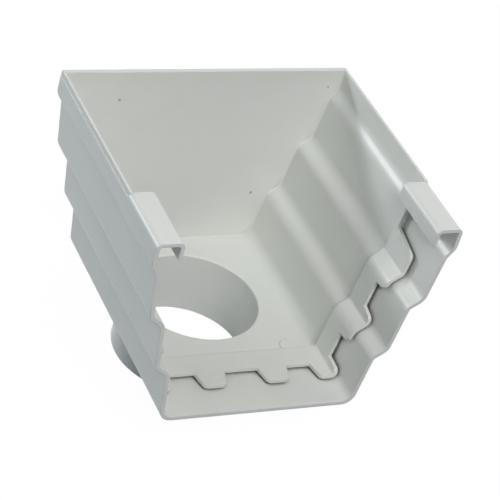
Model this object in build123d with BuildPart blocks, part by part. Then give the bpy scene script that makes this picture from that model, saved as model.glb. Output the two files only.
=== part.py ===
from build123d import *

import os
from math import radians, tan

# Gutter stop end outlet: the closed end of a stepped gutter, with a round outlet in its floor.
# It is one moulding. X runs across the trough, Y along it from the mouth to the end plate, Z up.
# The origin is on the axis of the outlet, at the lower end of the spigot. Sizes are in millimetres.

# Outlet, which plugs into the socket of a 75 mm rainwater pipe
spigot_diameter = 75.0
spigot_wall = 3.5
spigot_length = 34.0
spigot_chamfer = 1.0
spigot_root_fillet = 2.0
outlet_edge_fillet = 0.8

# Trough, measured outside, with heights from the underside of the floor
run_length = 137.6
outlet_to_end = 50.6
trough_depth = 110.0
floor_width = 106.0
band_width = 160.4
wall = 2.0
end_wall = 2.6

# Each side wall is leaning flats joined by steps, under an upright band along the rim
wall_lean = 7.0
first_step_height = 29.5
step_count = 2
step_offset = 6.2
step_rise = 4.8
band_depth = 17.5
band_rise = 5.2

# Rounding of the outside of the section, and of the softer inside of the rear trough
floor_corner_radius = 7.0
step_foot_radius = 3.5
step_head_radius = 7.0
band_foot_radius = 4.0
band_head_radius = 7.0
soft_radius = 7.0
least_radius = 0.5
plate_edge_fillet = 1.6
plate_corner_fillet = 0.8

# Narrow ledge along the outside of the rear rim, which is thinner above it
ledge_width = 0.6
ledge_drop = 2.8

# Socket for the gutter: a rib across the trough stops the gutter, and hooks hold its two rims
socket_length = 38.3
rib_wall = 2.2
hook_reach = 14.2
hook_drop = 9.8
hook_corner_radius = 3.0
hook_bend_radius = 3.2
hook_tip_radius = 0.6

# Toothed lip: it stands off the wall by the thickness of the gutter and some clearance
gutter_wall = 1.5
gutter_clearance = 0.2
lip_wall = 2.0
lip_reach = 20.6
lip_top_drop = 9.4
floor_tooth_length = 10.1
wall_tooth_length = 8.1
tooth_side_angle = 12.0
low_valley_side_angle = 5.0
tooth_tip_radius = 3.0
valley_corner_radius = 0.6
centre_valley_width = 18.6
floor_valley_width = 13.5
floor_valley_offset = 32.3
wall_valley_width = 15.6
wall_valley_place = 0.575

# Places that follow from the sizes above
lip_rise = gutter_wall + gutter_clearance + lip_wall
band_half = band_width / 2
end_inside = outlet_to_end - end_wall
mouth = outlet_to_end - run_length
rib_back = mouth + socket_length
rib_front = rib_back - rib_wall
valley_base = rib_front - lip_reach + floor_tooth_length
wall_lip_reach = rib_front - valley_base + wall_tooth_length
band_foot_height = trough_depth - band_depth
step_pitch = (band_foot_height - first_step_height) / step_count
above_rim = trough_depth + 2 * wall
rim_height = spigot_length + trough_depth
ledged_rim = [
    Vector(band_half, trough_depth - ledge_drop),
    Vector(band_half - ledge_width, trough_depth - ledge_drop),
    Vector(band_half - ledge_width, trough_depth),
]


def across(y):
    """Plane of the cross-section at y, with its origin at the underside of the floor."""
    return Plane(origin=(0, y, spigot_length), x_dir=(1, 0, 0), z_dir=(0, -1, 0))


def flat_ends(flat):
    """Heights of the foot and the head of a leaning flat. Flat 0 is the lowest."""
    foot = first_step_height + (flat - 1) * step_pitch + step_rise if flat else 0
    return foot, first_step_height + flat * step_pitch


def flat_place(flat, height):
    """Outer point of a leaning flat at a height."""
    return Vector(floor_width / 2 + flat * step_offset + height * tan(radians(wall_lean)), height)


def inset_corners(inset):
    """Corners of the right half of the section, from the floor's middle to the band, moved in by inset."""
    corners = [Vector(0, 0)]
    for flat in range(step_count + 1):
        corners += [flat_place(flat, height) for height in flat_ends(flat)]
    corners += [Vector(band_half, band_foot_height + band_rise), Vector(band_half, trough_depth)]
    sides = []
    for start, end in zip(corners, corners[1:]):
        along = (end - start).normalized()
        sides.append((start + Vector(-along.Y, along.X) * inset, along))
    moved = [sides[0][0]]
    for (start, along), (next_start, next_along) in zip(sides, sides[1:]):
        reach = (next_start - start).cross(next_along).Z / along.cross(next_along).Z
        moved.append(start + along * reach)
    return moved


def trough_face(inset, top=trough_depth, rim=(), rim_radius=0.0, soft=least_radius):
    """Filled section of the trough, moved in from the outside by inset, with a square rim or the given one."""
    rim = rim or [Vector(band_half - inset, top)]
    feet = [step_foot_radius] * step_count + [band_foot_radius]
    heads = [step_head_radius] * step_count + [band_head_radius]
    rounds = [floor_corner_radius - inset]
    for foot, head in zip(feet, heads):
        rounds += [foot + inset, head - inset]
    rounds = [max(radius, soft) for radius in rounds] + len(rim) * [rim_radius]
    with BuildSketch() as face:
        with BuildLine():
            side = FilletPolyline(*inset_corners(inset), *rim, (0, top), radius=rounds)
            Line(side @ 1, side @ 0)
        make_face()
        mirror(about=Plane.YZ)
    return face.sketch


def hook_face():
    """Section of the two hooks that fold in and down from the rims."""
    lip = band_half - hook_reach
    foot = trough_depth - hook_corner_radius - wall
    outline = [
        (band_half, foot),
        (band_half, trough_depth),
        (lip, trough_depth),
        (lip, trough_depth - hook_drop),
        (lip + wall, trough_depth - hook_drop),
        (lip + wall, trough_depth - wall),
        (band_half - wall, trough_depth - wall),
        (band_half - wall, foot),
    ]
    bends = [hook_corner_radius, hook_bend_radius, hook_tip_radius, hook_tip_radius]
    inner_bends = [hook_bend_radius - wall, hook_corner_radius - wall]
    with BuildSketch() as face:
        with BuildLine():
            FilletPolyline(*outline, radius=[0] + bends + inner_bends + [0], close=True)
        make_face()
        mirror(about=Plane.YZ)
    return face.sketch


def hook_stop_face():
    """Section that closes the rear of the two hooks."""
    lip = band_half - hook_reach
    outline = [
        (band_half, trough_depth - hook_drop),
        (band_half, trough_depth),
        (lip, trough_depth),
        (lip, trough_depth - hook_drop),
    ]
    with BuildSketch() as face:
        with BuildLine():
            FilletPolyline(*outline, radius=[0, hook_corner_radius, hook_bend_radius, 0], close=True)
        make_face()
        mirror(about=Plane.YZ)
    return face.sketch


def valley_face(width, low_tooth, high_tooth, side_angle=tooth_side_angle):
    """Gap between two teeth of given lengths, with local x along the lip's edge and local y towards the rib."""
    half = width / 2
    spread = tan(radians(side_angle))
    past = half + max(low_tooth, high_tooth) * spread + 2 * tooth_tip_radius
    front = max(low_tooth, high_tooth) + tooth_tip_radius
    outline = [
        (half, 0),
        (half + high_tooth * spread, -high_tooth),
        (past, -high_tooth),
        (past, -front),
        (-past, -front),
        (-past, -low_tooth),
        (-half - low_tooth * spread, -low_tooth),
        (-half, 0),
    ]
    side_rounds = [valley_corner_radius, tooth_tip_radius, 0, 0]
    with BuildSketch() as face:
        with BuildLine():
            FilletPolyline(*outline, radius=side_rounds + side_rounds[::-1], close=True)
        make_face()
    return face.sketch


def valley_height(flat):
    """Height of the middle of the valley in a leaning flat."""
    foot, head = flat_ends(flat)
    return foot + wall_valley_place * (head - foot)


def on_floor(offset):
    """Plane of a valley in the floor, at an offset across the trough."""
    return Plane(origin=(offset, valley_base, spigot_length))


def on_flat(flat, height, y):
    """Plane of a valley in a leaning flat, with its local x up the flat."""
    place = flat_place(flat, height)
    up = Vector(0, 0, 1).rotate(Axis.Y, wall_lean)
    inward = Vector(-1, 0, 0).rotate(Axis.Y, wall_lean)
    return Plane(origin=(place.X, y, spigot_length + place.Y), x_dir=up, z_dir=inward)


# Toothed lip, made as its right half and mirrored. The lip ends in a slanted edge below each hook.
lip_outer = trough_face(wall + gutter_wall + gutter_clearance)
lip_inner = trough_face(wall + lip_rise)
lip_end_height = band_foot_height - lip_top_drop + wall_valley_width / 2
lip_pieces = [
    (0, valley_height(0), lip_reach),
    (valley_height(0), lip_end_height, wall_lip_reach),
]
valleys = [
    (on_floor(0), valley_face(centre_valley_width, floor_tooth_length, floor_tooth_length)),
    (on_floor(floor_valley_offset), valley_face(floor_valley_width, floor_tooth_length, floor_tooth_length)),
    (on_flat(0, valley_height(0), valley_base),
     valley_face(wall_valley_width, floor_tooth_length, wall_tooth_length, low_valley_side_angle)),
    (on_flat(1, valley_height(1), valley_base),
     valley_face(wall_valley_width, wall_tooth_length, wall_tooth_length)),
    (on_flat(step_count, lip_end_height, rib_front),
     valley_face(wall_valley_width, wall_lip_reach, wall_lip_reach)),
]

with BuildPart() as toothed_lip:
    for low, high, reach in lip_pieces:
        with BuildSketch(across(rib_front)):
            add(lip_outer)
            add(lip_inner, mode=Mode.SUBTRACT)
            with Locations((0, low)):
                Rectangle(band_half, high - low, align=(Align.MIN, Align.MIN), mode=Mode.INTERSECT)
        extrude(amount=reach)
    for valley_plane, face in valleys:
        with BuildSketch(valley_plane):
            add(face)
        extrude(amount=2 * (wall + lip_rise), mode=Mode.SUBTRACT)
    mirror(about=Plane.YZ)

with BuildPart() as stop_end_outlet:
    # End plate
    rear_face = trough_face(0, rim=ledged_rim)
    with BuildSketch(across(outlet_to_end)):
        add(rear_face)
    extrude(amount=end_wall)

    # Rear trough, softly rounded inside
    with BuildSketch(across(end_inside)):
        add(rear_face)
        add(trough_face(wall, above_rim, soft=soft_radius), mode=Mode.SUBTRACT)
    extrude(amount=end_inside - rib_back)

    # Rib that stops the gutter and closes the rear of the hooks
    with BuildSketch(across(rib_back)):
        add(trough_face(0, rim_radius=hook_corner_radius))
        add(trough_face(wall + lip_rise, above_rim), mode=Mode.SUBTRACT)
        add(hook_stop_face())
    extrude(amount=rib_wall)

    # Socket with its two hooks
    with BuildSketch(across(rib_front)):
        add(trough_face(0, rim_radius=hook_corner_radius))
        add(trough_face(wall, above_rim), mode=Mode.SUBTRACT)
        add(hook_face())
    extrude(amount=rib_front - mouth)
    add(toothed_lip.part)

    # Spigot and its bore
    with BuildSketch(Plane.XY):
        Circle(spigot_diameter / 2)
    extrude(amount=spigot_length + wall / 2)
    with BuildSketch(Plane.XY):
        Circle(spigot_diameter / 2 - spigot_wall)
    extrude(amount=spigot_length + wall, mode=Mode.SUBTRACT)

    # Rounded edges of the outlet
    near = wall / 4
    rings = stop_end_outlet.edges().filter_by(GeomType.CIRCLE).filter_by(lambda e: e.is_closed)
    tip, root, inlet = (rings.filter_by_position(Axis.Z, height - near, height + near)
                        for height in (0, spigot_length, spigot_length + wall))
    chamfer(tip.sort_by(SortBy.RADIUS)[-1], spigot_chamfer)
    fillet(root.sort_by(SortBy.RADIUS)[-1], spigot_root_fillet)
    fillet(inlet.sort_by(SortBy.RADIUS)[0], outlet_edge_fillet)

    # Rounded outline and inside corner of the end plate
    outline = stop_end_outlet.faces().sort_by(Axis.Y)[-1].outer_wire().edges()
    fillet(outline.filter_by_position(Axis.Z, 0, rim_height - ledge_drop - near), plate_edge_fillet)
    corner = stop_end_outlet.edges().filter_by_position(Axis.Y, end_inside - near, end_inside + near)
    fillet(corner.filter_by_position(Axis.Z, spigot_length, rim_height - wall), plate_corner_fillet)

stop_end_outlet.part.label = "stop_end_outlet"
os.makedirs("parts", exist_ok=True)
export_step(stop_end_outlet.part, "parts/stop_end_outlet.step")
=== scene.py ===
from math import cos, radians, sin

import bpy
from mathutils import Matrix, Vector


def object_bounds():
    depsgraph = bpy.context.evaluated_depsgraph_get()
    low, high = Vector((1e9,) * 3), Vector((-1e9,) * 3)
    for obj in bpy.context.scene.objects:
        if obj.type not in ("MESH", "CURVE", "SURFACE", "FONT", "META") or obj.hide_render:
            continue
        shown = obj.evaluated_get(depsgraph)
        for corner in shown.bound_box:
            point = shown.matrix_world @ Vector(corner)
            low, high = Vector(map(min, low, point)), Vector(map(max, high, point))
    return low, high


# Gutter stop end outlet in off-white PVC, one moulding. Metres, in the frame of the CAD part:
# X across the trough, Y from the mouth to the end plate, Z up, with the origin under the outlet.

# Camera, at the photograph's viewing angle
CAMERA_PLACE = (-0.440355, -0.711097, 0.661886)
CAMERA_TURN = radians(-33.14)
CAMERA_TILT = radians(54.91)
CAMERA_ROLL = radians(17.56)
CAMERA_LENS = 144.31
CAMERA_SENSOR = 36.0
CAMERA_NEAR_LIMIT = 0.01

# Lamps: name, bearing clockwise from the rear and height in degrees, width, depth, watts, colour
TROUGH_MIDDLE = Vector((0.0, -0.02, 0.09))
LAMP_DISTANCE = 1.6
COOL_LIGHT = (0.88, 0.95, 1.0)
PLAIN_LIGHT = (1.0, 1.0, 1.0)
LAMPS = [
    ("low_window_lamp", 313.0, 17.5, 0.40, 0.15, 7.8, COOL_LIGHT),
    ("high_left_softbox", 268.0, 56.0, 0.80, 0.60, 3.4, COOL_LIGHT),
    ("high_front_softbox", 180.0, 60.0, 0.60, 0.60, 3.3, PLAIN_LIGHT),
    ("wide_front_softbox", 187.0, 46.0, 1.10, 0.50, 12.6, PLAIN_LIGHT),
    ("right_softbox", 95.0, 40.0, 0.50, 0.50, 4.2, PLAIN_LIGHT),
    ("low_right_softbox", 74.0, 14.0, 0.60, 0.50, 5.5, PLAIN_LIGHT),
    ("low_rear_softbox", 352.0, 12.0, 0.60, 0.50, 4.5, PLAIN_LIGHT),
]

# White paper floor: the colour that lights the part, the glow that shows and its share of shadow
WHITE = (1.0, 1.0, 1.0, 1.0)
FLOOR_WIDTH = 8.0
FLOOR_BOUNCE = (0.28, 0.305, 0.345, 1.0)
FLOOR_GLOW = 1.02
FLOOR_SHADOW_SHARE = 0.05

# Off-white PVC: pale and dull cast of the plastic, dark tint of the painted shade in the slots and of
# the pin mark, dark specks
PVC_PALE = (0.785, 0.798, 0.763, 1.0)
PVC_DULL = (0.769, 0.782, 0.745, 1.0)
PVC_SHADE_AND_PIN_TINT = (0.230, 0.200, 0.140, 1.0)
PVC_SPECK = (0.260, 0.260, 0.230, 1.0)
PVC_GLOSS_LEVEL = 0.31
PVC_ROUGHNESS = (0.29, 0.36)

# Pattern of the plastic: scale and detail of its clouds, its flow lines along the trough, its grain
CLOUDS = (28.0, 2.0)
FLOW_LINES = (60.0, 1.0)
FLOW_STRETCH = (1.0, 0.12, 1.0)
GRAIN = (1400.0, 3.0)
CAST_RANGE = (0.7, 1.3)
RELIEF_STRENGTH = 0.10
RELIEF_HEIGHT = 0.0001

# Soft edges, and painted shade darkening the slots: its reach, how closed they are, how dark it gets
EDGE_SOFTNESS = 0.0005
EDGE_SAMPLES = 6
SLOT_REACH = 0.008
SLOT_SAMPLES = 8
SLOT_OPENNESS = (0.05, 0.55)
SLOT_SHADE_SHARE = 0.85

# Specks moulded into the inside of the end plate: place, radius and how dark
SPECK_CORE = 0.3
SPECKS = [
    ((-0.0462, 0.0480, 0.1274), 0.0012, 0.65),
    ((0.0445, 0.0480, 0.0654), 0.0011, 1.00),
    ((0.0711, 0.0480, 0.1337), 0.0008, 0.70),
]

# Faint round mark of an ejector pin on the floor, deeper on one side, its colour darkened along the
# edge
PIN_MARK = (0.0363, -0.0430, 0.0360)
PIN_MARK_DEEP_SIDE = (0.0318, -0.0450, 0.0360)
PIN_MARK_RADIUS = 0.0050
PIN_MARK_EDGE = 0.0006
PIN_MARK_DEEP_REACH = (0.0020, 0.0100)
PIN_MARK_FAINTEST = 0.15
PIN_MARK_DARKENING = 0.45

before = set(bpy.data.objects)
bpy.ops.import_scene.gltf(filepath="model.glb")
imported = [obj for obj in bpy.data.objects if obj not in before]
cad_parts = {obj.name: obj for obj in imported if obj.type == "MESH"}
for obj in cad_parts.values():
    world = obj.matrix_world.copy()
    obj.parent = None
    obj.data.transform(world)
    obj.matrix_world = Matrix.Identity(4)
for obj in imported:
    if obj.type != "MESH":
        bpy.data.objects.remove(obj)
cad_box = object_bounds()


def new_material(name):
    """Empty node material, with its nodes and links."""
    material = bpy.data.materials.new(name)
    material.use_nodes = True
    tree = material.node_tree
    tree.nodes.clear()
    return material, tree.nodes, tree.links


def noise(nodes, links, place, scale, detail, stretch=(1.0, 1.0, 1.0)):
    """Noise on the object's own coordinates, stretched along an axis by a smaller number."""
    mapping = nodes.new("ShaderNodeMapping")
    mapping.inputs["Scale"].default_value = stretch
    texture = nodes.new("ShaderNodeTexNoise")
    texture.inputs["Scale"].default_value = scale
    texture.inputs["Detail"].default_value = detail
    links.new(place, mapping.inputs["Vector"])
    links.new(mapping.outputs["Vector"], texture.inputs["Vector"])
    return texture.outputs["Fac"]


def math_step(nodes, links, operation, first, second):
    """One sum on a value, with a second value or a plain number."""
    step = nodes.new("ShaderNodeMath")
    step.operation = operation
    links.new(first, step.inputs[0])
    if isinstance(second, float):
        step.inputs[1].default_value = second
    else:
        links.new(second, step.inputs[1])
    return step.outputs["Value"]


def ranged(nodes, links, value, start, end, low, high):
    """Value carried from one range to another."""
    step = nodes.new("ShaderNodeMapRange")
    step.inputs["From Min"].default_value = start
    step.inputs["From Max"].default_value = end
    step.inputs["To Min"].default_value = low
    step.inputs["To Max"].default_value = high
    links.new(value, step.inputs["Value"])
    return step.outputs["Result"]


def tinted(nodes, links, mask, first, second):
    """Colour that goes from the first to the second with the mask."""
    mix = nodes.new("ShaderNodeMix")
    mix.data_type = "RGBA"
    links.new(mask, mix.inputs["Factor"])
    for colour, socket in ((first, mix.inputs["A"]), (second, mix.inputs["B"])):
        if isinstance(colour, tuple):
            socket.default_value = colour
        else:
            links.new(colour, socket)
    return mix.outputs["Result"]


def distance_from(nodes, links, place, point):
    """Distance from a point of the object."""
    step = nodes.new("ShaderNodeVectorMath")
    step.operation = "DISTANCE"
    links.new(place, step.inputs[0])
    step.inputs[1].default_value = point
    return step.outputs["Value"]


def speck_mask(nodes, links, place):
    """Mask that is highest in the middle of each speck."""
    mask = None
    for point, radius, depth in SPECKS:
        distance = distance_from(nodes, links, place, point)
        dot = ranged(nodes, links, distance, SPECK_CORE * radius, radius, depth, 0.0)
        mask = math_step(nodes, links, "MAXIMUM", dot, mask) if mask else dot
    return mask


def pin_mark_mask(nodes, links, place):
    """Mask along the edge of the ejector pin's round mark, highest on its deeper side."""
    distance = distance_from(nodes, links, place, PIN_MARK)
    from_edge = math_step(nodes, links, "SUBTRACT", distance, PIN_MARK_RADIUS)
    from_edge = math_step(nodes, links, "ABSOLUTE", from_edge, 0.0)
    edge = ranged(nodes, links, from_edge, 0.0, PIN_MARK_EDGE, 1.0, 0.0)
    from_deep_side = distance_from(nodes, links, place, PIN_MARK_DEEP_SIDE)
    depth = ranged(nodes, links, from_deep_side, *PIN_MARK_DEEP_REACH, 1.0, PIN_MARK_FAINTEST)
    return math_step(nodes, links, "MULTIPLY", edge, depth)


def pvc_material():
    """Moulded off-white plastic: clouds, flow lines, fine grain, soft edges and painted shade in the
    slots.
    """
    material, nodes, links = new_material("white_pvc")
    output = nodes.new("ShaderNodeOutputMaterial")
    shader = nodes.new("ShaderNodeBsdfPrincipled")
    shader.inputs["Specular IOR Level"].default_value = PVC_GLOSS_LEVEL
    place = nodes.new("ShaderNodeTexCoord").outputs["Object"]
    clouds = noise(nodes, links, place, *CLOUDS)
    flow = noise(nodes, links, place, *FLOW_LINES, FLOW_STRETCH)
    grain = noise(nodes, links, place, *GRAIN)

    # Colour
    cast = math_step(nodes, links, "ADD", clouds, flow)
    dullness = ranged(nodes, links, cast, *CAST_RANGE, 0.0, 1.0)
    colour = tinted(nodes, links, dullness, PVC_PALE, PVC_DULL)
    # Painted shade: ambient occlusion darkens the colour towards a brown tint in the slots and hollows
    open_sky = nodes.new("ShaderNodeAmbientOcclusion")
    open_sky.samples = SLOT_SAMPLES
    open_sky.only_local = True
    open_sky.inputs["Distance"].default_value = SLOT_REACH
    painted_shade = ranged(nodes, links, open_sky.outputs["AO"], *SLOT_OPENNESS, SLOT_SHADE_SHARE, 0.0)
    colour = tinted(nodes, links, painted_shade, colour, PVC_SHADE_AND_PIN_TINT)
    # The pin mark's edge is darkened towards the same tint, most on its deeper side
    pin_mark = pin_mark_mask(nodes, links, place)
    faint = math_step(nodes, links, "MULTIPLY", pin_mark, PIN_MARK_DARKENING)
    colour = tinted(nodes, links, faint, colour, PVC_SHADE_AND_PIN_TINT)
    colour = tinted(nodes, links, speck_mask(nodes, links, place), colour, PVC_SPECK)
    links.new(colour, shader.inputs["Base Color"])

    # Gloss, duller in the slots
    gloss = ranged(nodes, links, cast, *CAST_RANGE, *PVC_ROUGHNESS)
    links.new(math_step(nodes, links, "MAXIMUM", gloss, painted_shade), shader.inputs["Roughness"])

    # Soft edges, fine grain and the sunk edge of the pin mark
    soft_edges = nodes.new("ShaderNodeBevel")
    soft_edges.samples = EDGE_SAMPLES
    soft_edges.inputs["Radius"].default_value = EDGE_SOFTNESS
    height = math_step(nodes, links, "SUBTRACT", grain, pin_mark)
    relief = nodes.new("ShaderNodeBump")
    relief.inputs["Strength"].default_value = RELIEF_STRENGTH
    relief.inputs["Distance"].default_value = RELIEF_HEIGHT
    links.new(height, relief.inputs["Height"])
    links.new(soft_edges.outputs["Normal"], relief.inputs["Normal"])
    links.new(relief.outputs["Normal"], shader.inputs["Normal"])
    links.new(shader.outputs["BSDF"], output.inputs["Surface"])
    return material


def seen_rays(nodes, links):
    """Value that is 1 for camera, glossy and transmission rays."""
    path = nodes.new("ShaderNodeLightPath")
    value = path.outputs["Is Camera Ray"]
    for ray in ("Is Glossy Ray", "Is Transmission Ray"):
        value = math_step(nodes, links, "MAXIMUM", value, path.outputs[ray])
    return value


def floor_material():
    """White paper floor: it shows white and keeps a faint share of the object's shadow."""
    material, nodes, links = new_material("white_paper")
    output = nodes.new("ShaderNodeOutputMaterial")
    seen = seen_rays(nodes, links)
    paper = nodes.new("ShaderNodeBsdfDiffuse")
    links.new(tinted(nodes, links, seen, FLOOR_BOUNCE, WHITE), paper.inputs["Color"])
    glow = nodes.new("ShaderNodeEmission")
    glow.inputs["Strength"].default_value = FLOOR_GLOW
    mix = nodes.new("ShaderNodeMixShader")
    share = math_step(nodes, links, "MULTIPLY", seen, 1.0 - FLOOR_SHADOW_SHARE)
    links.new(share, mix.inputs["Fac"])
    links.new(paper.outputs["BSDF"], mix.inputs[1])
    links.new(glow.outputs["Emission"], mix.inputs[2])
    links.new(mix.outputs["Shader"], output.inputs["Surface"])
    return material


def white_surroundings():
    """Room that shows white past the floor and in the gloss, and sends out no light of its own."""
    world = bpy.data.worlds.new("white_surroundings")
    bpy.context.scene.world = world
    world.use_nodes = True
    nodes, links = world.node_tree.nodes, world.node_tree.links
    nodes.clear()
    output = nodes.new("ShaderNodeOutputWorld")
    white = nodes.new("ShaderNodeBackground")
    white.inputs["Color"].default_value = WHITE
    links.new(seen_rays(nodes, links), white.inputs["Strength"])
    links.new(white.outputs["Background"], output.inputs["Surface"])


def add_lamp(name, bearing, height, width, depth, power, colour):
    """Flat lamp that points at the middle of the trough."""
    turn, rise = radians(bearing), radians(height)
    towards = Vector((sin(turn) * cos(rise), cos(turn) * cos(rise), sin(rise)))
    data = bpy.data.lights.new(name, "AREA")
    data.shape = "RECTANGLE"
    data.size = width
    data.size_y = depth
    data.energy = power
    data.color = colour
    lamp = bpy.data.objects.new(name, data)
    lamp.location = TROUGH_MIDDLE + LAMP_DISTANCE * towards
    lamp.rotation_euler = (-towards).to_track_quat("-Z", "Y").to_euler()
    bpy.context.scene.collection.objects.link(lamp)


def add_camera():
    """Camera turned, tilted and rolled as the photograph's was."""
    data = bpy.data.cameras.new("camera")
    data.lens = CAMERA_LENS
    data.sensor_width = CAMERA_SENSOR
    data.clip_start = CAMERA_NEAR_LIMIT
    camera = bpy.data.objects.new("camera", data)
    turn = Matrix.Rotation(CAMERA_TURN, 4, "Z")
    tilt = Matrix.Rotation(CAMERA_TILT, 4, "X")
    roll = Matrix.Rotation(CAMERA_ROLL, 4, "Z")
    camera.matrix_world = Matrix.Translation(CAMERA_PLACE) @ turn @ tilt @ roll
    bpy.context.scene.collection.objects.link(camera)
    bpy.context.scene.camera = camera


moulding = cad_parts["stop_end_outlet"]
moulding.data.materials.clear()
moulding.data.materials.append(pvc_material())

bpy.ops.object.select_all(action="DESELECT")
bpy.ops.mesh.primitive_plane_add(size=FLOOR_WIDTH, location=(0.0, 0.0, cad_box[0][2]))
floor = bpy.context.object
floor.name = "floor"
floor.data.materials.append(floor_material())

white_surroundings()
for lamp in LAMPS:
    add_lamp(*lamp)
add_camera()
bpy.context.scene.view_settings.view_transform = "Standard"
